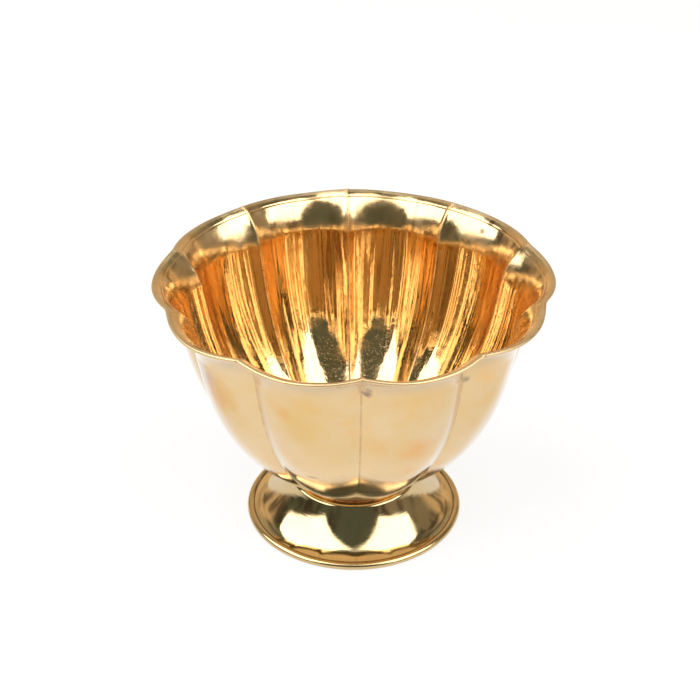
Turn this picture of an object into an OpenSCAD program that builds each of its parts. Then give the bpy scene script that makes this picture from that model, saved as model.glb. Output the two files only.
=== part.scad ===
// Footed brass bowl with a fluted body, a flared lip and a spun pedestal foot.
// Units are millimetres. +Z is up, and the origin is the centre of the foot's resting face.
// Every lobe runs between two creases, and one crease lies on the +Y axis.

/* [Bowl] */
// Number of lobes round the body
lobe_count = 10; // [6:2:14]
// Radius of the rim at the middle of a lobe
rim_tip_r = 57; // [55:0.5:62]
// Radius of the rim at a crease
rim_crease_r = 54.5; // [53:0.5:55]
// Height of the rim at the middle of a lobe
rim_h = 79.3; // [74:0.1:88]
// How much higher the rim stands at a crease
crease_rise = 1.4; // [0:0.1:2.5]
// Thickness of the bowl's sheet
sheet_t = 1.0; // [0.8:0.1:1.4]
// Outer radius of the wall under the lip, at a crease
throat_r = 46.8; // [44:0.1:49]
// Height of the lip, from the throat to the rim
lip_h = 9.8; // [8.5:0.1:11]
// Bulge of a lobe at the throat, as a part of the radius at the crease
lobe_bulge = 0.079; // [0.06:0.001:0.09]
// Share of straight taper in the wall's curve
wall_taper = 0.3; // [0.2:0.05:0.5]
// Power of the round part of the wall's curve
wall_belly = 2.72; // [2.2:0.02:3.2]
// Outer radius where the wall leaves the rounded edge of its seat
wall_start_r = 17.4; // [16.8:0.1:17.8]
// Bend radius at the edge of the seat
knuckle_r = 2.0; // [1.5:0.25:2.5]

/* [Lip] */
// Slope of the lip where it leaves the wall, in degrees
throat_slope = 80; // [70:1:85]
// Slope of the lip where it meets the band, in degrees
lip_slope = 45; // [38:1:55]
// Slope of the flat band along the rim's edge, in degrees
band_slope = 25; // [15:1:35]
// Width of that band
band_w = 3.0; // [2:0.1:4]

/* [Foot] */
// Outer radius of the foot's rolled edge
foot_r = 32.5; // [32:0.5:34]
// Height of the foot, up to the face that carries the bowl
foot_h = 13.3; // [12.9:0.1:13.8]
// Thickness of the foot's sheet
foot_t = 0.9; // [0.7:0.1:1.1]
// Diameter of the rolled bead at the foot's edge
bead_d = 2.2; // [2.1:0.1:2.6]
// Depth of the resting face worn into the bead
wear_depth = 0.1; // [0.05:0.01:0.15]
// Radius of the hole in the foot's top flange
flange_hole_r = 7; // [4:0.5:9]
// Radius where the top flange turns down into the flare
shoulder_start_r = 18.2; // [17.9:0.1:18.5]
// Bend radius of that shoulder
shoulder_r = 1.2; // [1.1:0.1:1.5]

/* [Braze] */
// Thickness of the braze layer between foot and bowl
braze_t = 0.2; // [0.15:0.05:0.3]
// Inner radius of the braze layer
braze_inner_r = 9.5; // [9:0.5:11]

/* [Hidden] */
brass = "#e0b668";
satin_brass = "#d8ab5a";
braze_tint = "#c8843c";

// Steps round one lobe, and rows up each stretch of the bowl's profile
lobe_steps = 10;
knuckle_rows = 2;
wall_rows = 10;
lip_rows = 6;
half_lobe = 180 / lobe_count;
step_count = lobe_count * lobe_steps;
// Row spacing up the wall: above 1 the rows crowd towards the seat
row_crowding = 1.3;
// How soon the lobes reach their full bulge above the seat
bulge_onset = 9;
// How far the lip's curve keeps to its slope at the throat and at the band, as parts of its reach
throat_pull = 0.08;
band_pull = 0.4;

// Heights of the bowl's seat and throat
bowl_z = foot_h + braze_t;
throat_z = rim_h - lip_h;
// How far the wall spreads in all, and its slope where it starts
wall_run = throat_r - wall_start_r;
wall_slope = atan2(throat_z - bowl_z, wall_run * (wall_taper + (1 - wall_taper) * wall_belly));
// Height of the wall's first point, and radius of the flat seat, from the bend between them
wall_start_z = bowl_z + knuckle_r * (1 - cos(wall_slope));
seat_r = wall_start_r - knuckle_r * sin(wall_slope);

// Directions from the centre of each arc of the foot, in degrees
shoulder_end_angle = 24;
flare_start_angle = 180 + shoulder_end_angle;
flare_break_angle = 234;
flare_end_angle = 262;
// How much further in the underside of the flare ends than its top
flare_cutback_angle = 5;
bead_r = bead_d / 2;
bead_c = [foot_r - bead_r, bead_r - wear_depth];
// The sheet thins a little as it is curled round
curl_thinning = 0.85;
bead_core_r = bead_r - foot_t * curl_thinning;
// Width of the groove's flat bottom, between the flare and the bead
groove_w = 0.12;
// Angles on the bead: where the groove ends, and the two sides of the slit under the roll
groove_angle = 140;
slit_low_angle = 212;
slit_high_angle = 196;
// Degrees of arc to each facet of a profile, and facets round a turned shape
arc_step = 6;
turned_facets = 180;

// Part of the wall's first row that the braze fillet climbs
fillet_climb = 0.12;
// Step from the fillet's top corner to its bottom one
fillet_step = [0.25, -0.55];
// Gap that keeps the braze and the bowl from overlapping
braze_gap = 0.02;

// Points along an arc from angle a0 to angle a1
function arc(c, r, a0, a1) =
    let (n = max(1, ceil(abs(a1 - a0) / arc_step)))
    [for (i = [0:n]) let (a = a0 + (a1 - a0) * i / n) c + r * [cos(a), sin(a)]];

function bezier(p, t) =
    pow(1 - t, 3) * p[0] + 3 * pow(1 - t, 2) * t * p[1] + 3 * (1 - t) * t * t * p[2] + t * t * t * p[3];

function reversed(list) = [for (i = [len(list) - 1:-1:0]) list[i]];

// ---- Bowl -------------------------------------------------------------------------------

// Outer radius of the wall at a crease, for v from 0 at the seat to 1 at the throat
function wall_r(v) =
    wall_start_r + wall_run * (wall_taper * v + (1 - wall_taper) * (1 - pow(1 - v, wall_belly)));

function wall_z(v) = wall_start_z + (throat_z - wall_start_z) * v;

// Radius at the middle of a lobe over the radius at the crease
function bulge(v) = 1 + lobe_bulge * (1 - pow(1 - v, bulge_onset));

function wall(widen) = [
    for (i = [0:wall_rows])
        let (v = pow(i / wall_rows, row_crowding))
        [wall_r(v) * (widen ? bulge(v) : 1), wall_z(v)]
];

function knuckle() = [
    for (i = [0:knuckle_rows - 1])
        let (a = -90 + wall_slope * i / knuckle_rows)
        [seat_r + knuckle_r * cos(a), bowl_z + knuckle_r * (1 + sin(a))]
];

// Lip from the throat to the band, then the band's edge. edge is the outer corner of the rim.
function lip(throat, edge) =
    let (
        slope = [for (a = [throat_slope, lip_slope, band_slope]) [cos(a), sin(a)]],
        band = edge - band_w * slope[2],
        reach = norm(band - throat),
        ctrl = [
            throat, throat + throat_pull * reach * slope[0],
            band - band_pull * reach * slope[1], band
        ]
    )
    concat([for (i = [1:lip_rows]) bezier(ctrl, i / lip_rows)], [edge]);

function outer_profile(widen) =
    let (
        w = wall(widen),
        top = widen ? [rim_tip_r, rim_h] : [rim_crease_r, rim_h + crease_rise],
        edge = top - [0, sheet_t * cos(band_slope)]
    )
    concat(knuckle(), w, lip(w[wall_rows], edge));

// Direction of a profile at point i, and the inner profile one sheet inside it
function heading(p, i) = let (d = p[min(i + 1, len(p) - 1)] - p[max(i - 1, 0)]) d / norm(d);
function inner_profile(p) = [
    for (i = [0:len(p) - 1])
        let (d = i == 0 ? [1, 0] : heading(p, i))
        p[i] + sheet_t * [-d[1], d[0]]
];

// Radius of a lobe's arc at angle a from its middle
function lobe_radius(crease, tip, a) =
    let (
        rise = tip - crease * cos(half_lobe),
        half_chord = crease * sin(half_lobe),
        arc_r = (half_chord * half_chord + rise * rise) / (2 * rise),
        offset = tip - arc_r
    )
    offset * cos(a) + sqrt(arc_r * arc_r - pow(offset * sin(a), 2));

// One ring of points round the bowl, from the crease and mid-lobe points of a row
function ring(crease, tip) = [
    for (s = [0:step_count - 1])
        let (
            turn = 360 * s / step_count,
            a = turn % (2 * half_lobe) - half_lobe,
            r = lobe_radius(crease[0], tip[0], a),
            z = tip[1] + (crease[1] - tip[1]) * pow(a / half_lobe, 2)
        )
        [-r * sin(turn), r * cos(turn), z]
];

module bowl() {
    crease_out = outer_profile(false);
    tip_out = outer_profile(true);
    crease_in = inner_profile(crease_out);
    tip_in = inner_profile(tip_out);
    rows = len(crease_out);
    // Rings run up the outside, then down the inside
    crease = concat(crease_out, reversed(crease_in));
    tip = concat(tip_out, reversed(tip_in));
    points = [for (i = [0:2 * rows - 1]) each ring(crease[i], tip[i])];
    sides = [
        for (i = [0:2 * rows - 2], s = [0:step_count - 1])
            let (
                a = i * step_count + s,
                b = i * step_count + (s + 1) % step_count,
                tri = [[a, a + step_count, b], [b, a + step_count, b + step_count]]
            )
            each tri
    ];
    under = [for (s = [0:step_count - 1]) s];
    floor_face = [for (s = [step_count - 1:-1:0]) (2 * rows - 1) * step_count + s];
    color(brass) polyhedron(points = points, faces = concat(sides, [under, floor_face]));
}

// ---- Foot -------------------------------------------------------------------------------

function direction(a) = [cos(a), sin(a)];

shoulder_c = [shoulder_start_r, foot_h - shoulder_r];
flare_start = shoulder_c + shoulder_r * direction(shoulder_end_angle);
flare_end = bead_c + bead_r * direction(groove_angle) - [groove_w, 0];

// The flare is two hollow arcs that run into each other, and their radii make it end at the groove
flare_span = flare_end - flare_start;
upper_chord = direction(flare_break_angle) - direction(flare_start_angle);
lower_chord = direction(flare_end_angle) - direction(flare_break_angle);
flare_upper_r = cross(flare_span, lower_chord) / cross(upper_chord, lower_chord);
flare_lower_r = cross(upper_chord, flare_span) / cross(upper_chord, lower_chord);
flare_upper_c = flare_start - flare_upper_r * direction(flare_start_angle);
flare_lower_c = flare_end - flare_lower_r * direction(flare_end_angle);
land_angle = asin(bead_c[1] / bead_r);

module foot() {
    top = concat(
        [[flange_hole_r, foot_h]],
        arc(shoulder_c, shoulder_r, 90, shoulder_end_angle),
        arc(flare_upper_c, flare_upper_r, flare_start_angle + arc_step, flare_break_angle),
        arc(flare_lower_c, flare_lower_r, flare_break_angle + arc_step, flare_end_angle)
    );
    roll = concat(
        arc(bead_c, bead_r, groove_angle, -land_angle),
        arc(bead_c, bead_r, land_angle - 180, slit_low_angle - 360),
        arc(bead_c, bead_core_r, slit_low_angle - 360, slit_high_angle),
        [bead_c + bead_r * direction(slit_high_angle)]
    );
    under = concat(
        arc(flare_lower_c, flare_lower_r + foot_t, flare_end_angle - flare_cutback_angle, flare_break_angle),
        arc(flare_upper_c, flare_upper_r + foot_t, flare_break_angle - arc_step, flare_start_angle),
        arc(shoulder_c, shoulder_r - foot_t, shoulder_end_angle, 90),
        [[flange_hole_r, foot_h - foot_t]]
    );
    color(satin_brass)
        rotate_extrude($fn = turned_facets)
        polygon(concat(top, roll, under));
}

// ---- Braze ------------------------------------------------------------------------------

module braze_seam() {
    // The fillet's upper face follows the bend at the edge of the bowl's seat, a hair under it
    under_bowl = [0, -braze_gap];
    bowl_curve = outer_profile(true);
    wall_foot = bowl_curve[knuckle_rows];
    fillet_top = wall_foot + fillet_climb * (bowl_curve[knuckle_rows + 1] - wall_foot);
    color(braze_tint)
        rotate_extrude($fn = turned_facets)
        polygon(concat(
            [[braze_inner_r, foot_h], [shoulder_start_r, foot_h]],
            [fillet_top + fillet_step, fillet_top + under_bowl],
            [for (i = [knuckle_rows:-1:1]) bowl_curve[i] + under_bowl],
            [bowl_curve[0], [braze_inner_r, bowl_z]]
        ));
}

bowl();
foot();
braze_seam();
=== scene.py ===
# Footed brass bowl: ten lobes, a flared lip and a spun foot, in studio light on a white table.
# Units are metres and the frame is the CAD model's own, with the table at z = 0.
import math

import bpy
import numpy as np
from mathutils import Matrix, Vector


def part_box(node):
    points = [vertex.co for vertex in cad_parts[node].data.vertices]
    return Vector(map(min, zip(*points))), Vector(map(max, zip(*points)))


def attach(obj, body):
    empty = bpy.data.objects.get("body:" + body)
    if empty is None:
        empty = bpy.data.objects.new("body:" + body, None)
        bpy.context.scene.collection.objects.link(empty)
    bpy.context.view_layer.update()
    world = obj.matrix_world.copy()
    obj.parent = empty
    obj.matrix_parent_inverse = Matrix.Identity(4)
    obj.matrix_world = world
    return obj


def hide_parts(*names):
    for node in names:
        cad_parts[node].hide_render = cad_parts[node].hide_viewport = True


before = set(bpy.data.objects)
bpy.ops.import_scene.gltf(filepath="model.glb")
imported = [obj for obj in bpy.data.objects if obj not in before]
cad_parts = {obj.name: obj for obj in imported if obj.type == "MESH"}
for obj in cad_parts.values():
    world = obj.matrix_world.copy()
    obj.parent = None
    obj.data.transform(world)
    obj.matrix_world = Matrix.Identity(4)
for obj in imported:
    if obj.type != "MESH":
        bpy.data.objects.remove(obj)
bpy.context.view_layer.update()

MM = 0.001

# ---- Sizes that the CAD frame gives -------------------------------------------------------

bowl_low, bowl_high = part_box("bowl")
foot_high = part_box("foot")[1]
RIM_TIP_R = bowl_high.x
RIM_TOP_Z = bowl_high.z
SEAT_Z = bowl_low.z
FOOT_R = foot_high.x
FOOT_H = foot_high.z

# ---- Sizes of the bowl's sheet work -------------------------------------------------------

LOBES = 10
HALF_LOBE = math.pi / LOBES
CREASE_RISE = 1.4 * MM
RIM_TIP_Z = RIM_TOP_Z - CREASE_RISE
CREASE_INSET = 2.5 * MM
RIM_CREASE_R = RIM_TIP_R - CREASE_INSET
SHEET_T = 1.0 * MM
THROAT_R = 46.8 * MM
LIP_H = 9.8 * MM
LOBE_BULGE = 0.079
BULGE_ONSET = 9
WALL_TAPER = 0.3
WALL_BELLY = 2.72
WALL_START_R = 17.4 * MM
KNUCKLE_R = 2.0 * MM
BAND_W = 3.0 * MM
THROAT_SLOPE = math.radians(80)
LIP_SLOPE = math.radians(45)
BAND_SLOPE = math.radians(25)
BAND_CROWN = 0.09 * MM
THROAT_PULL = 0.08
BAND_PULL = 0.40
CREASE_ROUND = 0.3 * MM
RIM_ROUND = 2.0 * MM
PLEAT_H = 0.28 * MM
PLEAT_HALF_W = 0.55 * MM
PLEAT_SIDE = 0.2
GROOVE_DEPTH = 0.14 * MM
GROOVE_HALF_W = 0.22 * MM

# Slopes of the hand-made waves in the sheet, and how far they wander up the wall
INNER_RIPPLE_SLOPE = 0.020
OUTER_RIPPLE_SLOPE = 0.004
DENT_SLOPE = 0.006
RIPPLE_DRIFT = 0.3
DENT_LIFT = 4
FLOOR_DENT_LIFT = 6

# How finely the bowl's mesh is divided
WALL_POINTS = 71
WALL_CROWDING = 1.15
LOBE_STEPS = 36
LOBE_CROWDING = 1.5

# ---- Sizes of the foot --------------------------------------------------------------------

FOOT_T = 0.9 * MM
BEAD_R = 1.1 * MM
WEAR = 0.1 * MM
FLANGE_HOLE_R = 7 * MM
BRAZE_INNER_R = 9.5 * MM
SHOULDER_START_R = 18.2 * MM
SHOULDER_R = 1.2 * MM
SHOULDER_END = math.radians(24)
FLARE_START = math.pi + SHOULDER_END
FLARE_BREAK = math.radians(234)
FLARE_END = math.radians(262)
FLARE_CUTBACK = math.radians(5)
GROOVE_START = math.radians(140)
FOOT_GROOVE_W = 0.12 * MM
CURL_R = 0.335 * MM
FOOT_UNEVENNESS = 0.0006
FOOT_SEGMENTS = 288
SLIT_LOW = math.radians(212)
SLIT_HIGH = math.radians(196)

BRAZE_GAP = 0.02 * MM
BRAZE_FILLET_R = 0.12 * MM
BRAZE_UNEVENNESS = 0.001
BRAZE_SEGMENTS = 240

THROAT_Z = RIM_TIP_Z - LIP_H
WALL_RUN = THROAT_R - WALL_START_R
WALL_SLOPE = math.atan2(THROAT_Z - SEAT_Z, WALL_RUN * (WALL_TAPER + (1 - WALL_TAPER) * WALL_BELLY))
WALL_START_Z = SEAT_Z + KNUCKLE_R * (1 - math.cos(WALL_SLOPE))
SEAT_R = WALL_START_R - KNUCKLE_R * math.sin(WALL_SLOPE)

rng = np.random.default_rng(7)


# ---- Profiles -----------------------------------------------------------------------------

def polar(angle):
    return np.stack([np.cos(angle), np.sin(angle)], -1)


def arc(centre, radius, start, end, count):
    return np.array(centre) + radius * polar(np.linspace(start, end, count))


def headings(points):
    """Unit direction of a profile at each of its points."""
    step = np.gradient(points, axis=0)
    return step / np.linalg.norm(step, axis=1)[:, None]


def wall_profile(widen):
    """Outside of the wall, bellied, at a crease or (widened) at the middle of a lobe."""
    v = np.linspace(0, 1, WALL_POINTS) ** WALL_CROWDING
    belly = WALL_TAPER * v + (1 - WALL_TAPER) * (1 - (1 - v) ** WALL_BELLY)
    radius = WALL_START_R + WALL_RUN * belly
    if widen:
        radius = radius * (1 + LOBE_BULGE * (1 - (1 - v) ** BULGE_ONSET))
    return np.stack([radius, WALL_START_Z + (THROAT_Z - WALL_START_Z) * v], -1)


def outer_profile(widen):
    """Outside of the sheet from the middle of the seat to the start of the rim's round edge."""
    seat = np.stack([np.linspace(0.5 * MM, SEAT_R, 9)[:-1], np.full(8, SEAT_Z)], -1)
    knuckle = arc((SEAT_R, SEAT_Z + KNUCKLE_R), KNUCKLE_R, -math.pi / 2, WALL_SLOPE - math.pi / 2, 9)
    wall = wall_profile(widen)
    top = (RIM_TIP_R, RIM_TIP_Z) if widen else (RIM_CREASE_R, RIM_TOP_Z)
    edge = np.array(top) - (0, SHEET_T * math.cos(BAND_SLOPE))
    band = edge - BAND_W * polar(BAND_SLOPE)
    throat = wall[-1]
    reach = np.linalg.norm(band - throat)
    p1 = throat + THROAT_PULL * reach * polar(THROAT_SLOPE)
    p2 = band - BAND_PULL * reach * polar(LIP_SLOPE)
    t = np.concatenate([np.linspace(0, 0.86, 30)[1:], np.linspace(0.88, 1, 10)])[:, None]
    lip = (1 - t) ** 3 * throat + 3 * (1 - t) ** 2 * t * p1 + 3 * (1 - t) * t * t * p2 + t ** 3 * band
    nose = edge - SHEET_T / 2 * polar(BAND_SLOPE)
    u = np.concatenate([np.linspace(0, 0.3, 11)[1:], np.linspace(0.36, 1, 9)])[:, None]
    crown = np.array((-math.sin(BAND_SLOPE), math.cos(BAND_SLOPE))) * BAND_CROWN
    flat = band + (nose - band) * u + crown * 4 * u * (1 - u)
    return np.concatenate([seat, knuckle[:-1], wall, lip, flat])


def inner_profile(outer):
    across = headings(outer) @ np.array([[0, 1], [-1, 0]])
    return outer + SHEET_T * across


def nose_profile(outer_end, inner_end):
    """Half round between the two sides of the sheet, at the rim's edge."""
    centre, half = (outer_end + inner_end) / 2, (outer_end - inner_end) / 2
    ahead = np.array([-half[1], half[0]])
    angle = np.linspace(0, math.pi, 11)[1:-1, None]
    return centre + half * np.cos(angle) + ahead * np.sin(angle)


def lobe_radius(crease, tip, angle):
    """Radius of a lobe that is one round arc between two creases, at an angle from its middle."""
    rise = tip - crease * math.cos(HALF_LOBE)
    half_chord = crease * math.sin(HALF_LOBE)
    arc_r = (half_chord ** 2 + rise ** 2) / (2 * rise)
    offset = tip - arc_r
    return offset * np.cos(angle) + np.sqrt(arc_r ** 2 - (offset * np.sin(angle)) ** 2)


# ---- Hand-made unevenness -----------------------------------------------------------------

def ripples(turn, along, orders, slope, drift):
    """Sum of waves round the axis, of a given slope each, that wander a little up the wall."""
    total = np.zeros(np.broadcast(turn, along).shape)
    for order in orders:
        phase, sway_phase = rng.uniform(0, 2 * math.pi, 2)
        sway = drift * np.sin(rng.uniform(0.5, 1.6) * along + sway_phase)
        size = rng.uniform(0.4, 1.6) * slope * THROAT_R / order
        total += size * np.cos(order * turn + phase + sway)
    return total


def dents(turn, along, orders, lift, slope):
    """Sum of slanted waves, for the slow dents of hand work."""
    total = np.zeros(np.broadcast(turn, along).shape)
    for order in orders:
        phase = rng.uniform(0, 2 * math.pi)
        pitch = rng.uniform(-lift, lift)
        size = rng.uniform(0.4, 1.6) * slope * THROAT_R / math.hypot(order, pitch)
        total += size * np.cos(order * turn + pitch * along + phase)
    return total


# ---- Meshes -------------------------------------------------------------------------------

# Value of a distance mark at the middle of the bowl's floor: far from every edge, in millimetres
CENTRE_MARK = 20.0


def make_mesh(name, grid, materials, side=None, values=None):
    """A closed skin from rings of points, with both ends closed by a fan."""
    rows, columns = grid.shape[:2]
    ends = np.stack([grid[0].mean(0), grid[-1].mean(0)])
    points = np.concatenate([grid.reshape(-1, 3), ends])
    faces, face_side = [], []
    for i in range(rows - 1):
        for j in range(columns):
            k = (j + 1) % columns
            a, b = i * columns + j, i * columns + k
            faces.append((a, b, b + columns, a + columns))
            face_side.append(0 if side is None else side[i])
    first, last = rows * columns, rows * columns + 1
    for j in range(columns):
        k = (j + 1) % columns
        faces.append((first, k, j))
        face_side.append(face_side[0])
        faces.append((last, (rows - 1) * columns + j, (rows - 1) * columns + k))
        face_side.append(face_side[(rows - 2) * columns])
    return link_mesh(name, points, faces, materials, face_side, values)


def link_mesh(name, points, faces, materials, face_side, values=None):
    """Put a mesh into the scene. values are distances that its materials read at each point."""
    mesh = bpy.data.meshes.new(name)
    mesh.from_pydata([tuple(p) for p in points], [], faces)
    mesh.polygons.foreach_set("use_smooth", [True] * len(faces))
    for material in materials:
        mesh.materials.append(material)
    if len(materials) > 1:
        mesh.polygons.foreach_set("material_index", face_side)
    for key, data in (values or {}).items():
        layer = mesh.attributes.new(key, "FLOAT", "POINT")
        layer.data.foreach_set("value", data.astype(np.float32))
    mesh.update()
    mesh.validate()
    piece = bpy.data.objects.new(name, mesh)
    bpy.context.scene.collection.objects.link(piece)
    return piece


def lobe_turns():
    """Angles round the bowl, from the crease on +Y, crowded towards every crease."""
    from_crease = HALF_LOBE * (np.arange(LOBE_STEPS) / LOBE_STEPS) ** LOBE_CROWDING
    lobe = np.concatenate([from_crease, 2 * HALF_LOBE - np.append(from_crease[1:], HALF_LOBE)[::-1]])
    return np.concatenate([lobe + 2 * HALF_LOBE * i for i in range(LOBES)])


def smoothstep(x, low, high):
    """0 below low, 1 above high, and a smooth climb between."""
    t = np.clip((x - low) / (high - low), 0, 1)
    return t * t * (3 - 2 * t)


def bowl_rows():
    """Closed section of the sheet at a crease and at a lobe's middle, and how many points each side has."""
    crease_out, tip_out = outer_profile(False), outer_profile(True)
    crease_in, tip_in = inner_profile(crease_out), inner_profile(tip_out)
    crease = np.concatenate([crease_out, nose_profile(crease_out[-1], crease_in[-1]), crease_in[::-1]])
    tip = np.concatenate([tip_out, nose_profile(tip_out[-1], tip_in[-1]), tip_in[::-1]])
    return crease, tip, len(crease_out)


def across_sheet(tip, is_in, is_nose):
    """Unit direction out of each row: upwards inside the bowl, and off the band on its round edge."""
    along_row = headings(tip)
    up_sign = np.where(is_in, -1, 1)[:, None]
    across_r = -along_row[:, 1:] * up_sign
    across_z = along_row[:, :1] * up_sign
    across_r[is_nose] = -math.sin(BAND_SLOPE)
    across_z[is_nose] = math.cos(BAND_SLOPE)
    return across_r, across_z


def hand_work(turn, level, on_lip, tip, is_in):
    """Ripples and dents that raising and fluting the sheet left in it."""
    along = level * 3.0

    # Ripples start a third of the way up the wall and almost fade out over the lip
    on_wall = smoothstep(level, 0.33, 0.60) * (1 - 0.85 * on_lip)
    inner_wave = ripples(turn, along, rng.integers(32, 104, 24), INNER_RIPPLE_SLOPE, RIPPLE_DRIFT)
    outer_wave = ripples(turn, along, rng.integers(20, 90, 10), OUTER_RIPPLE_SLOPE, RIPPLE_DRIFT)
    slow = dents(turn, along, rng.integers(6, 32, 14), DENT_LIFT, DENT_SLOPE)
    wave = np.where(is_in, inner_wave, outer_wave) * on_wall + slow * smoothstep(level, 0.05, 0.4)

    # The floor's own dents leave out its very middle and end where the wall begins
    off_centre = smoothstep(tip[:, :1], 2 * MM, 9 * MM)
    on_floor = off_centre * (1 - smoothstep(level, 0.02, 0.14)) * is_in
    wave += dents(turn, along * 6, rng.integers(1, 5, 12), FLOOR_DENT_LIFT, DENT_SLOPE) * on_floor
    return wave


def make_bowl(inside, outside):
    crease, tip, count = bowl_rows()
    rows = len(crease)
    is_in = np.arange(rows) >= rows - count
    is_nose = (np.arange(rows) >= count) & ~is_in

    turn = lobe_turns()[None, :]
    angle = np.mod(turn, 2 * HALF_LOBE) - HALF_LOBE
    gap = HALF_LOBE - np.abs(angle)
    near_rim = smoothstep(tip[:, 1:], RIM_TIP_Z - 6 * MM, RIM_TIP_Z)
    rounding = (CREASE_ROUND + (RIM_ROUND - CREASE_ROUND) * near_rim) / tip[:, :1]
    soft = HALF_LOBE - np.sqrt(gap ** 2 + rounding ** 2)
    radius = lobe_radius(crease[:, :1], tip[:, :1], soft)
    height = tip[:, 1:] + (crease[:, 1:] - tip[:, 1:]) * (soft / HALF_LOBE) ** 2

    # Share of the way up the wall, and share of the way out over the lip
    level = np.clip((tip[:, 1:] - SEAT_Z) / (THROAT_Z - SEAT_Z), 0, None)
    on_lip = smoothstep(tip[:, 1:], THROAT_Z - 1 * MM, THROAT_Z + 4 * MM)

    # The pleats at the two sides are pressed flatter than those at the front and back
    from_crease = radius * gap
    pleat_h = PLEAT_H * (PLEAT_SIDE + (1 - PLEAT_SIDE) * np.cos(turn) ** 2)
    pleat = pleat_h * on_lip * np.exp(-(from_crease / PLEAT_HALF_W) ** 2)

    # The groove runs along the band's inner edge, on the upper side only
    steps = np.linalg.norm(np.diff(tip, axis=0), axis=1)
    travelled = np.concatenate([[0], np.cumsum(steps)])
    from_edge = np.abs(travelled - travelled[rows - count])[:, None]
    groove_at = BAND_W - SHEET_T / 2
    groove = -GROOVE_DEPTH * np.exp(-((from_edge - groove_at) / GROOVE_HALF_W) ** 2) * is_in[:, None]

    across_r, across_z = across_sheet(tip, is_in, is_nose)
    shift = pleat + groove + hand_work(turn, level, on_lip, tip, is_in[:, None])
    radius = radius + across_r * shift
    height = height + across_z * shift

    grid = np.stack([-radius * np.sin(turn), radius * np.cos(turn), height + 0 * turn], -1)
    values = {"from_crease": from_crease / MM, "from_rim": (from_edge + 0 * turn) / MM}
    values = {key: np.append(value.ravel(), [CENTRE_MARK, CENTRE_MARK]) for key, value in values.items()}
    side = [1 if i < count - 1 else 0 for i in range(rows)]
    return make_mesh("bowl_sheet", grid, [inside, outside], side, values)


def revolve(name, profile, material, segments, unevenness):
    """A closed outline turned round the axis, a little out of round."""
    turn = np.linspace(0, 2 * math.pi, segments, endpoint=False)[None, :]
    travelled = np.concatenate([[0], np.cumsum(np.linalg.norm(np.diff(profile, axis=0), axis=1))])
    uneven = dents(turn, travelled[:, None] / (10 * MM), rng.integers(2, 9, 8), 3, unevenness)
    radius, height = profile[:, :1] + uneven, profile[:, 1:]
    grid = np.stack([radius * np.cos(turn), radius * np.sin(turn), height + 0 * turn], -1)
    rows, columns = grid.shape[:2]
    faces = [
        (i * columns + j, i * columns + (j + 1) % columns,
         (i + 1) % rows * columns + (j + 1) % columns, (i + 1) % rows * columns + j)
        for i in range(rows) for j in range(columns)
    ]
    return link_mesh(name, grid.reshape(-1, 3), faces, [material], [0] * len(faces))


def flare_arcs(start, end):
    """Radii of the two hollow arcs that lead from the shoulder to the groove."""
    def cross(a, b):
        return a[0] * b[1] - a[1] * b[0]
    upper = polar(FLARE_BREAK) - polar(FLARE_START)
    lower = polar(FLARE_END) - polar(FLARE_BREAK)
    span = end - start
    return cross(span, lower) / cross(upper, lower), cross(upper, span) / cross(upper, lower)


def make_foot(material):
    bead_c = np.array([FOOT_R - BEAD_R, BEAD_R - WEAR])
    shoulder_c = np.array([SHOULDER_START_R, FOOT_H - SHOULDER_R])
    flare_start = shoulder_c + SHOULDER_R * polar(SHOULDER_END)
    flare_end = bead_c + BEAD_R * polar(GROOVE_START) - (FOOT_GROOVE_W, 0)
    upper_r, lower_r = flare_arcs(flare_start, flare_end)
    upper_c = flare_start - upper_r * polar(FLARE_START)
    lower_c = flare_end - lower_r * polar(FLARE_END)
    land = math.asin(bead_c[1] / BEAD_R)
    full = 2 * math.pi
    profile = np.concatenate([
        np.stack([np.linspace(FLANGE_HOLE_R, SHOULDER_START_R, 6)[:-1], np.full(5, FOOT_H)], -1),
        arc(shoulder_c, SHOULDER_R, math.pi / 2, SHOULDER_END, 14),
        arc(upper_c, upper_r, FLARE_START, FLARE_BREAK, 50)[1:],
        arc(lower_c, lower_r, FLARE_BREAK, FLARE_END, 26)[1:],
        arc(bead_c, BEAD_R, GROOVE_START, -land, 30),
        arc(bead_c, BEAD_R, land - math.pi, SLIT_LOW - full, 3),
        arc(bead_c, CURL_R, SLIT_LOW - full, SLIT_HIGH, 16),
        arc(bead_c, BEAD_R, SLIT_HIGH, SLIT_HIGH, 1),
        arc(lower_c, lower_r + FOOT_T, FLARE_END - FLARE_CUTBACK, FLARE_BREAK, 12),
        arc(upper_c, upper_r + FOOT_T, FLARE_BREAK, FLARE_START, 30)[1:],
        arc(shoulder_c, SHOULDER_R - FOOT_T, SHOULDER_END, math.pi / 2, 8)[1:],
        np.stack([np.linspace(SHOULDER_START_R, FLANGE_HOLE_R, 6)[1:], np.full(5, FOOT_H - FOOT_T)], -1),
    ])
    return revolve("foot_shell", profile[::-1], material, FOOT_SEGMENTS, FOOT_UNEVENNESS)


def make_braze(material):
    """A thin layer on the foot's flange, ending in a small fillet under the bowl's bend."""
    bend_share = 0.6
    bend_end = WALL_SLOPE * bend_share - math.pi / 2
    under_bend = arc((SEAT_R, SEAT_Z + KNUCKLE_R), KNUCKLE_R + BRAZE_GAP, -math.pi / 2, bend_end, 7)
    edge_r = under_bend[-1][0] + 0.3 * MM
    profile = np.concatenate([
        [[BRAZE_INNER_R, FOOT_H], [edge_r - 0.5 * MM, FOOT_H]],
        arc((edge_r, FOOT_H + BRAZE_FILLET_R), BRAZE_FILLET_R, -math.pi / 2, math.pi / 3, 6),
        under_bend[::-1],
        [[BRAZE_INNER_R, SEAT_Z - BRAZE_GAP]],
    ])
    return revolve("braze_bead", profile, material, BRAZE_SEGMENTS, BRAZE_UNEVENNESS)


# ---- Materials ----------------------------------------------------------------------------

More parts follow.
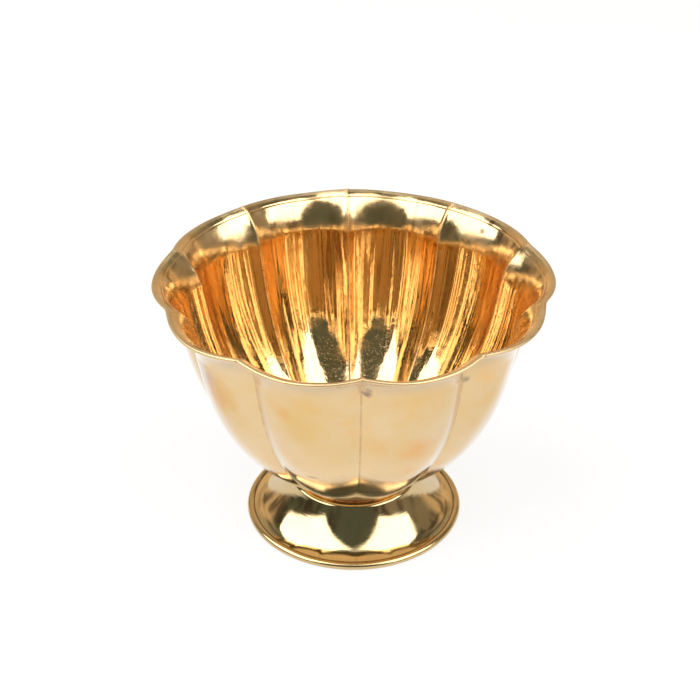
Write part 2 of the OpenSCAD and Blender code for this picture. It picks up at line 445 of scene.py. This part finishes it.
class Nodes:
    """Short ways to add shader nodes. An input is a number, a colour or another node's output."""

    def __init__(self, tree):
        self.tree = tree

    def add(self, kind, inputs, output=0, **settings):
        node = self.tree.nodes.new(kind)
        for key, value in settings.items():
            setattr(node, key, value)
        for key, value in inputs.items():
            self.feed(node.inputs[key], value)
        return node.outputs[output]

    def feed(self, socket, value):
        if isinstance(value, bpy.types.NodeSocket):
            self.tree.links.new(value, socket)
        else:
            socket.default_value = value

    def math(self, operation, a, b=0.0):
        return self.add("ShaderNodeMath", {0: a, 1: b}, operation=operation)

    def vector(self, operation, a, b=(0, 0, 0), output=0):
        return self.add("ShaderNodeVectorMath", {0: a, 1: b}, output, operation=operation)

    def step(self, value, low, high, to_low=0.0, to_high=1.0):
        """Smooth step of a value, from to_low at low to to_high at high."""
        inputs = {"Value": value, "From Min": low, "From Max": high, "To Min": to_low, "To Max": to_high}
        return self.add("ShaderNodeMapRange", inputs, interpolation_type="SMOOTHSTEP")

    def mix(self, factor, a, b):
        # On a Mix node, inputs 6 and 7 and output 2 are the colour ones
        return self.add("ShaderNodeMix", {0: factor, 6: a, 7: b}, 2, data_type="RGBA")

    def noise(self, where, scale, detail=3.0, rough=0.55, warp=0.0):
        inputs = {"Vector": where, "Scale": scale, "Detail": detail, "Roughness": rough, "Distortion": warp}
        return self.add("ShaderNodeTexNoise", inputs)

    def join(self, x, y, z):
        return self.add("ShaderNodeCombineXYZ", {0: x, 1: y, 2: z})


def colour(r, g, b):
    """A colour as a node socket takes it, in linear light."""
    return (r, g, b, 1.0)


class Surface(Nodes):
    """A metal's node tree, with the coordinates that all of them use."""

    def __init__(self, name):
        self.material = bpy.data.materials.new(name)
        self.material.use_nodes = True
        super().__init__(self.material.node_tree)
        self.shader = self.tree.nodes["Principled BSDF"]
        self.shader.inputs["Metallic"].default_value = 1.0
        coordinates = self.tree.nodes.new("ShaderNodeTexCoord")
        self.place = self.vector("SCALE", coordinates.outputs["Object"])
        self.place.node.inputs["Scale"].default_value = 1 / MM
        parts = self.tree.nodes.new("ShaderNodeSeparateXYZ")
        self.tree.links.new(self.place, parts.inputs[0])
        self.x, self.y, self.z = parts.outputs
        self.flat = self.join(self.x, self.y, 0.0)
        self.radius = self.vector("LENGTH", self.flat, output="Value")
        self.turn = self.vector("NORMALIZE", self.flat)

    def mark(self, name):
        """A distance in millimetres that the mesh carries."""
        return self.add("ShaderNodeAttribute", {}, "Fac", attribute_name=name)

    def streaks(self, per_turn, per_mm, detail):
        """Noise drawn out along the wall: fine round the axis and slow in height."""
        spun = self.vector("SCALE", self.turn)
        spun.node.inputs["Scale"].default_value = per_turn
        lift = self.join(0.0, 0.0, self.math("MULTIPLY", self.z, per_mm))
        return self.noise(self.vector("ADD", spun, lift), 1.0, detail, 0.5)

    def spot(self, point, size, ragged=0.5, squash=(1.0, 1.0, 1.0)):
        """1 at a point in millimetres, fading to 0 at a given distance, with a ragged outline."""
        offset = self.vector("MULTIPLY", self.vector("SUBTRACT", self.place, point), squash)
        distance = self.vector("LENGTH", offset, output="Value")
        uneven = self.math("MULTIPLY", self.noise(self.place, 1.6 / size, 4.0), ragged * size)
        return self.step(self.math("ADD", distance, uneven), size * 0.55, size * (1 + ragged / 2), 1.0, 0.0)

    def bump(self, height, distance, strength=1.0, under=None):
        inputs = {"Height": height, "Distance": distance, "Strength": strength}
        if under is not None:
            inputs["Normal"] = under
        return self.add("ShaderNodeBump", inputs)

    def finish(self, base, rough, normal):
        self.feed(self.shader.inputs["Base Color"], base)
        self.feed(self.shader.inputs["Roughness"], rough)
        self.feed(self.shader.inputs["Normal"], normal)
        return self.material


def brass_inside():
    """Mirror polish over hand-worked sheet: upright ripples, grain round the lip, dirt in the creases, and
    painted shade in dark streaks, a darker upper wall and an orange band at the lip's root.
    """
    s = Surface("brass_inside")
    on_lip = s.step(s.z, THROAT_Z / MM - 0.5, THROAT_Z / MM + 0.8)
    cloud = s.step(s.noise(s.place, 0.09, 4.0), 0.4, 0.68)
    # Painted shade: darker orange streaks up the wall stand in for the streaky reflections of the ripples.
    fine = s.step(s.streaks(26.0, 0.02, 3.0), 0.5, 0.75, 0.0, 0.5)
    fine = s.math("MULTIPLY", fine, s.step(s.radius, 15.0, 30.0))
    base = s.mix(cloud, colour(0.78, 0.55, 0.29), colour(0.74, 0.49, 0.23))
    # Painted shade: the inner wall is a little darker and more orange from mid-height up to just under the
    # lip.
    upper_wall_shade = s.math("MULTIPLY", s.step(s.z, 34.0, 46.0), s.step(s.z, 64.0, 69.0, 1.0, 0.0))
    base = s.mix(s.math("MULTIPLY", upper_wall_shade, 0.3), base, colour(0.62, 0.39, 0.18))
    base = s.mix(fine, base, colour(0.66, 0.39, 0.15))
    speck = s.step(s.noise(s.place, 2.6, 2.0), 0.64, 0.72)
    speckled = s.math("MULTIPLY", speck, s.step(s.z, 30.0, 48.0, 0.75, 0.4))
    base = s.mix(speckled, base, colour(0.30, 0.22, 0.10))
    crease = s.mark("from_crease")
    dirt = s.math("MULTIPLY", s.step(crease, 0.15, 0.7, 1.0, 0.0), s.step(s.radius, 12.0, 20.0))
    patchy = s.step(s.noise(s.place, 0.35, 4.0), 0.35, 0.65, 0.05, 0.6)
    base = s.mix(s.math("MULTIPLY", dirt, patchy), base, colour(0.34, 0.19, 0.07))
    # Painted shade: a darker orange band along the lip's root stands in for how the bend there reflects.
    root = s.step(s.math("ABSOLUTE", s.math("SUBTRACT", s.z, THROAT_Z / MM - 0.6)), 0.2, 1.6, 0.55, 0.0)
    root = s.math("MULTIPLY", root, s.step(s.noise(s.place, 0.8, 3.0), 0.35, 0.65))
    base = s.mix(root, base, colour(0.62, 0.33, 0.10))
    stain = s.math("MULTIPLY", s.spot((45.9, 11.5, 70.0), 1.5), 0.8)
    base = s.mix(stain, base, colour(0.16, 0.07, 0.05))
    lip_marks = (((42.7, 33.7, 78.3), 1.6), ((40.0, 33.2, 75.9), 1.2), ((48.8, 15.6, 79.7), 1.8))
    for point, size in lip_marks:
        mark = s.math("MULTIPLY", s.spot(point, size, 0.4), 0.9)
        base = s.mix(mark, base, colour(0.14, 0.09, 0.05))
    lip_stripe = s.math("MULTIPLY", s.spot((26.6, 39.2, 75.4), 2.2), 0.5)
    base = s.mix(lip_stripe, base, colour(0.45, 0.33, 0.14))

    handled = s.step(s.mark("from_rim"), 0.5, 1.3, 1.0, 0.0)
    base = s.mix(s.math("MULTIPLY", handled, 0.6), base, colour(0.58, 0.45, 0.27))

    rough = s.step(s.noise(s.place, 0.22, 5.0), 0.35, 0.7, 0.06, 0.14)
    rough = s.math("ADD", rough, s.math("MULTIPLY", handled, 0.22))
    rough = s.math("ADD", rough, s.math("MULTIPLY", dirt, 0.15))
    lip_haze = s.step(s.noise(s.place, 0.12), 0.35, 0.7, 0.05, 0.13)
    rough = s.math("ADD", rough, s.math("MULTIPLY", on_lip, lip_haze))

    off_lip = s.step(s.z, THROAT_Z / MM - 1.5, THROAT_Z / MM + 1.5, 1.0, 0.0)
    worked = s.math("MULTIPLY", off_lip, s.step(s.z, 28.0, 44.0, 0.08, 1.0))
    worked = s.math("MULTIPLY", worked, s.step(s.radius, 16.0, 30.0))
    normal = s.bump(s.streaks(24.0, 0.012, 1.0), 0.11 * MM, worked)
    grain = s.noise(s.join(s.math("MULTIPLY", s.radius, 3.2), s.math("MULTIPLY", s.z, 3.2), 0.0), 1.0, 3.0)
    normal = s.bump(grain, 0.012 * MM, on_lip, normal)
    normal = s.bump(s.noise(s.place, 0.16, 3.0), 0.10 * MM, 1.0, normal)
    normal = s.bump(s.noise(s.place, 1.9, 4.0), 0.006 * MM, 1.0, normal)
    normal = s.bump(speck, 0.02 * MM, s.step(s.z, 30.0, 48.0, 1.0, 0.25), normal)
    return s.finish(base, rough, normal)


def brass_outside():
    """Softer polish with tarnish in patches, soot at the rim's creases, a painted grey shade under the rim,
    where the finish is also rougher, and a painted pale sheen at grazing angles.
    """
    s = Surface("brass_outside")
    broad = s.step(s.noise(s.place, 0.055, 4.0, 0.6, 0.4), 0.42, 0.70)
    upper = s.step(s.math("ADD", s.z, s.math("MULTIPLY", s.noise(s.place, 0.08), 14.0)), 44.0, 60.0)
    base = s.mix(broad, colour(0.80, 0.58, 0.32), colour(0.77, 0.52, 0.25))
    upper_tone = s.mix(broad, colour(0.71, 0.50, 0.25), colour(0.72, 0.48, 0.20))
    base = s.mix(s.math("MULTIPLY", upper, 0.8), base, upper_tone)
    blotch = s.step(s.noise(s.place, 0.13, 5.0, 0.6), 0.56, 0.74, 0.0, 0.75)
    base = s.mix(blotch, base, colour(0.80, 0.47, 0.17))
    pale = s.step(s.noise(s.place, 0.05, 3.0, 0.5), 0.40, 0.70, 0.0, 0.45)
    base = s.mix(pale, base, colour(0.76, 0.61, 0.42))
    tarnish = (
        ((-38.7, -30.4, 61.0), 9.0, 0.85, colour(0.70, 0.40, 0.15)),
        ((-42.0, -25.0, 66.0), 9.0, 0.80, colour(0.50, 0.37, 0.29)),
        ((-15.5, -46.8, 60.0), 9.0, 0.65, colour(0.70, 0.47, 0.17)),
        ((-20.0, -44.0, 64.0), 3.5, 0.60, colour(0.74, 0.40, 0.14)),
        ((15.1, -43.3, 50.7), 6.5, 0.75, colour(0.76, 0.42, 0.15)),
        ((36.0, -33.0, 60.0), 8.0, 0.45, colour(0.72, 0.47, 0.20)),
    )
    for point, size, depth, tone in tarnish:
        base = s.mix(s.math("MULTIPLY", s.spot(point, size, 0.9), depth), base, tone)
    # Painted shade: a grey band just under the rim. The finish there is also rougher.
    shade_and_haze = s.step(s.noise(s.place, 0.16, 4.0), 0.3, 0.65, 0.35, 0.8)
    shade_and_haze = s.math("MULTIPLY", s.step(s.z, 70.5, 77.0), shade_and_haze)
    base = s.mix(shade_and_haze, base, colour(0.58, 0.44, 0.28))
    crease = s.mark("from_crease")
    line = s.step(crease, 0.10, 0.45, 1.0, 0.0)
    patchy = s.step(s.streaks(6.0, 0.25, 3.0), 0.3, 0.6, 0.15, 0.55)
    base = s.mix(s.math("MULTIPLY", line, patchy), base, colour(0.46, 0.29, 0.13))
    soot = (
        ((1.3, -48.0, 71.8), 2.0, 0.8),
        ((2.0, -48.6, 73.6), 1.6, 0.7),
        ((28.4, -37.7, 68.8), 1.6, 0.7),
    )
    for point, size, depth in soot:
        base = s.mix(s.math("MULTIPLY", s.spot(point, size, 1.0), depth), base, colour(0.20, 0.15, 0.14))
    scratch = s.math("MULTIPLY", s.spot((-13.0, -37.9, 38.0), 2.4, 0.5, (1.0, 1.0, 4.0)), 0.8)
    base = s.mix(scratch, base, colour(0.42, 0.27, 0.08))
    speck = s.step(s.noise(s.place, 1.7, 2.0), 0.68, 0.76, 0.0, 0.5)
    base = s.mix(speck, base, colour(0.42, 0.26, 0.11))
    # Painted highlight: the colour turns near-white towards grazing angles, a painted sheen of reflection.
    facing = s.add("ShaderNodeLayerWeight", {"Blend": 0.5}, "Facing")
    base = s.mix(s.step(facing, 0.62, 0.95, 0.0, 0.75), base, colour(0.93, 0.90, 0.86))

    rough = s.step(s.noise(s.place, 0.10, 5.0), 0.35, 0.7, 0.10, 0.22)
    rough = s.math("ADD", rough, s.math("MULTIPLY", shade_and_haze, 0.12))
    normal = s.bump(s.streaks(14.0, 0.06, 3.0), 0.05 * MM)
    normal = s.bump(s.noise(s.place, 0.5, 4.0), 0.02 * MM, 1.0, normal)
    normal = s.bump(s.noise(s.place, 3.0, 3.0), 0.003 * MM, 1.0, normal)
    return s.finish(base, rough, normal)


def brass_foot():
    """Turned brass: faint rings round the axis, a hazy film from handling, painted shade darkening the
    flare towards the bead, and the groove by the bead painted near-black as shade.
    """
    s = Surface("brass_foot")
    broad = s.step(s.noise(s.place, 0.10, 4.0, 0.6, 0.5), 0.4, 0.7)
    base = s.mix(broad, colour(0.87, 0.66, 0.35), colour(0.82, 0.59, 0.30))
    ring_at = s.join(s.radius, s.z, 0.0)
    rings = s.noise(ring_at, 3.0, 3.0)
    base = s.mix(s.step(rings, 0.55, 0.75, 0.0, 0.3), base, colour(0.70, 0.46, 0.19))
    # Painted shade: the flare is darker towards its outer edge.
    outer_foot_shade = s.math("ADD", s.radius, s.math("MULTIPLY", s.noise(s.place, 0.3), 4.0))
    outer_foot_shade = s.step(outer_foot_shade, 27.0, 34.0, 0.6, 0.0)
    base = s.mix(outer_foot_shade, base, colour(0.46, 0.35, 0.19))
    smudge = s.step(s.noise(s.place, 0.45, 5.0), 0.60, 0.74, 0.0, 0.15)
    base = s.mix(smudge, base, colour(0.52, 0.36, 0.17))
    groove_r = (FOOT_R - BEAD_R + BEAD_R * math.cos(GROOVE_START) - FOOT_GROOVE_W / 2) / MM
    # Painted shade: the groove by the bead is painted near-black.
    groove = s.step(s.math("ABSOLUTE", s.math("SUBTRACT", s.radius, groove_r)), 0.12, 0.36, 0.95, 0.0)
    base = s.mix(groove, base, colour(0.10, 0.05, 0.03))
    bead = s.step(s.radius, groove_r, groove_r + 0.6, 0.0, 0.4)
    base = s.mix(bead, base, colour(0.56, 0.37, 0.18))

    # Painted shade: the flare is darkened again just inside the groove.
    groove_side_shade = s.step(s.math("ADD", s.radius, s.noise(s.place, 0.5, 3.0)), 27.8, 30.6, 0.0, 0.4)
    base = s.mix(groove_side_shade, base, colour(0.50, 0.37, 0.19))

    rough = s.step(s.noise(s.place, 0.25, 5.0), 0.35, 0.7, 0.05, 0.13)
    rough = s.math("ADD", rough, s.math("MULTIPLY", bead, 0.25))
    normal = s.bump(rings, 0.016 * MM)
    normal = s.bump(s.noise(ring_at, 9.0, 2.0), 0.003 * MM, 1.0, normal)
    normal = s.bump(s.noise(s.place, 0.15, 2.0), 0.03 * MM, 1.0, normal)
    return s.finish(base, rough, normal)


def braze_alloy():
    """Braze with a dull, grainy skin. Its copper-orange colour is partly the braze's own and partly painted
    light for the glow of interreflection in the crevice, and one pit is painted near-black as shade.
    """
    s = Surface("braze_alloy")
    # Partly painted light: the copper-orange stands in for the glow of interreflection in the crevice under
    # the bowl.
    base = s.mix(s.noise(s.place, 1.2, 4.0), colour(0.62, 0.28, 0.10), colour(0.86, 0.50, 0.22))
    base = s.mix(s.step(s.noise(s.place, 0.6, 3.0), 0.55, 0.7), base, colour(0.40, 0.16, 0.06))
    # Painted shade: one pit is painted near-black.
    base = s.mix(s.spot((5.3, -17.4, 13.5), 1.6, 0.6), base, colour(0.02, 0.01, 0.01))
    rough = s.step(s.noise(s.place, 2.0, 3.0), 0.3, 0.7, 0.22, 0.45)
    normal = s.bump(s.noise(s.place, 2.5, 4.0), 0.05 * MM)
    return s.finish(base, rough, normal)


bowl = make_bowl(brass_inside(), brass_outside())
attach(bowl, "root")
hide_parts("bowl")
foot = make_foot(brass_foot())
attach(foot, "root")
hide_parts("foot")
braze = make_braze(braze_alloy())
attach(braze, "root")
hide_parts("braze_seam")

# ---- Camera -------------------------------------------------------------------------------

CAMERA_ELEVATION = math.radians(31.71)
CAMERA_SWING = math.radians(2.2)
CAMERA_DISTANCE = 470.2 * MM
AIM_Z = 55.4 * MM
AIM_LEFT = 1.14 * MM
LENS_MM = 83.56

right = Vector((math.cos(CAMERA_SWING), -math.sin(CAMERA_SWING), 0))
back = Vector((
    -math.sin(CAMERA_SWING) * math.cos(CAMERA_ELEVATION),
    -math.cos(CAMERA_SWING) * math.cos(CAMERA_ELEVATION),
    math.sin(CAMERA_ELEVATION),
))
camera = bpy.data.objects.new("camera", bpy.data.cameras.new("camera"))
camera.data.lens = LENS_MM
camera.data.sensor_width = 36
camera.location = Vector((0, 0, AIM_Z)) - AIM_LEFT * right + CAMERA_DISTANCE * back
camera.rotation_mode = "QUATERNION"
camera.rotation_quaternion = back.to_track_quat("Z", "Y")
bpy.context.scene.collection.objects.link(camera)
bpy.context.scene.camera = camera

# ---- Studio -------------------------------------------------------------------------------

bpy.context.scene.view_settings.view_transform = "Standard"
bpy.context.scene.cycles.glossy_bounces = 12
bpy.context.scene.cycles.max_bounces = 16

world = bpy.data.worlds.new("studio")
bpy.context.scene.world = world
world.use_nodes = True
room = Nodes(world.node_tree)
towards = room.tree.nodes.new("ShaderNodeTexCoord").outputs["Generated"]
split = room.tree.nodes.new("ShaderNodeSeparateXYZ")
room.tree.links.new(towards, split.inputs[0])
east, north, up = split.outputs

# The room's colours: dark in front, brown to the right, and a back wall that is warm low down
ROOM_FRONT = colour(0.125, 0.145, 0.12)
ROOM_RIGHT = colour(0.32, 0.28, 0.21)
BACK_WALL_LOW = colour(0.84, 0.64, 0.42)
BACK_WALL_HIGH = colour(0.36, 0.36, 0.29)
LAMP_STANDS = colour(0.05, 0.04, 0.03)
tint = room.mix(room.step(east, 0.35, 0.8), ROOM_FRONT, ROOM_RIGHT)
back_wall = room.mix(room.step(up, 0.45, 0.8), BACK_WALL_LOW, BACK_WALL_HIGH)
tint = room.mix(room.step(north, 0.34, 0.60), tint, back_wall)
tall = room.vector("MULTIPLY", towards, (1.0, 1.0, 0.3))
stands = room.step(room.noise(tall, 5.0, 3.0), 0.42, 0.60, 0.0, 0.8)
aside = room.step(room.math("ABSOLUTE", east), 0.25, 0.55, 0.15, 1.0)
tint = room.mix(room.math("MULTIPLY", stands, aside), tint, LAMP_STANDS)
room.feed(world.node_tree.nodes["Background"].inputs["Color"], tint)

floor_mesh = bpy.data.meshes.new("table")
HALF_TABLE = 6.0
TABLE_GREY = 0.16
TABLE_GLOW = 0.80
corners = [(-1, -1), (1, -1), (1, 1), (-1, 1)]
floor_mesh.from_pydata([(HALF_TABLE * x, HALF_TABLE * y, 0) for x, y in corners], [], [(0, 1, 2, 3)])
floor = bpy.data.objects.new("table", floor_mesh)
bpy.context.scene.collection.objects.link(floor)
table_white = bpy.data.materials.new("table_white")
table_white.use_nodes = True
shader = table_white.node_tree.nodes["Principled BSDF"]
shader.inputs["Base Color"].default_value = colour(TABLE_GREY, TABLE_GREY, TABLE_GREY)
shader.inputs["Roughness"].default_value = 0.9
shader.inputs["Emission Color"].default_value = colour(1, 1, 1)
shader.inputs["Emission Strength"].default_value = TABLE_GLOW
floor_mesh.materials.append(table_white)


def softbox(name, towards, outward, edge, half_size):
    """A rectangular lamp near the bowl. outward is its back, and edge runs along one side."""
    lamp = bpy.data.lights.new(name, "AREA")
    lamp.shape = "RECTANGLE"
    lamp.size, lamp.size_y = (2 * half * LAMP_DISTANCE for half in half_size)
    lamp.energy = LAMP_RADIANCE * math.pi * lamp.size * lamp.size_y
    z = Vector(outward).normalized()
    x = (Vector(edge) - Vector(edge).dot(z) * z).normalized()
    holder = bpy.data.objects.new(name, lamp)
    holder.rotation_mode = "QUATERNION"
    holder.rotation_quaternion = Matrix((x, z.cross(x), z)).transposed().to_quaternion()
    holder.location = Vector((0, 0, LAMP_AIM_Z)) + Vector(towards) * LAMP_DISTANCE
    holder.visible_camera = False
    bpy.context.scene.collection.objects.link(holder)


LAMP_DISTANCE = 1.0
LAMP_AIM_Z = 0.04
LAMP_RADIANCE = 3.5
softbox("softbox_left", (-0.52, -0.16, 0.84), (-0.74, -0.05, 0.67), (0.15, -0.98, 0.09), (0.53, 0.63))
softbox("softbox_right", (0.47, -0.30, 0.83), (0.71, -0.19, 0.68), (0.37, 0.92, -0.13), (0.42, 0.63))
